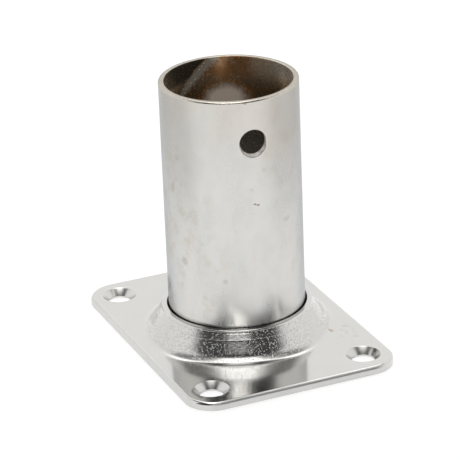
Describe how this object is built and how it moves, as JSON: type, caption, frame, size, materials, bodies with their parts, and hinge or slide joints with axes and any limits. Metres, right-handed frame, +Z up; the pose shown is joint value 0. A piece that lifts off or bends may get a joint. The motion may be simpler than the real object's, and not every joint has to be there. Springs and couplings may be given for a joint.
{
  "type": "stanchion base",
  "caption": "Deck base for a stanchion or rail tube: rectangular screw-down plate with a pressed collar and an upright tube socket with a cross hole for a locking screw.",
  "frame": {"origin": "on the tube's axis at the plate's underside, which lies on the deck; also the centre of the plate's rectangle", "axes": "+Z up along the tube out of the socket's mouth; +X along the plate's long side towards the locking-screw hole; +Y along the plate's short side"},
  "size_m": [0.0556, 0.04, 0.0495],
  "materials": {
    "plate_nickel": "bright nickel plate over pressed steel sheet, fine orange peel on the collar",
    "tube_nickel": "bright nickel plate over drawn steel tube, duller and rust-tinted inside",
    "weld_metal": "weld metal under thin nickel, rippled"
  },
  "bodies": {
    "root": {"base_plate": "plate_nickel", "socket_tube": "tube_nickel", "weld_bead": "weld_metal"}
  },
  "joints": []
}
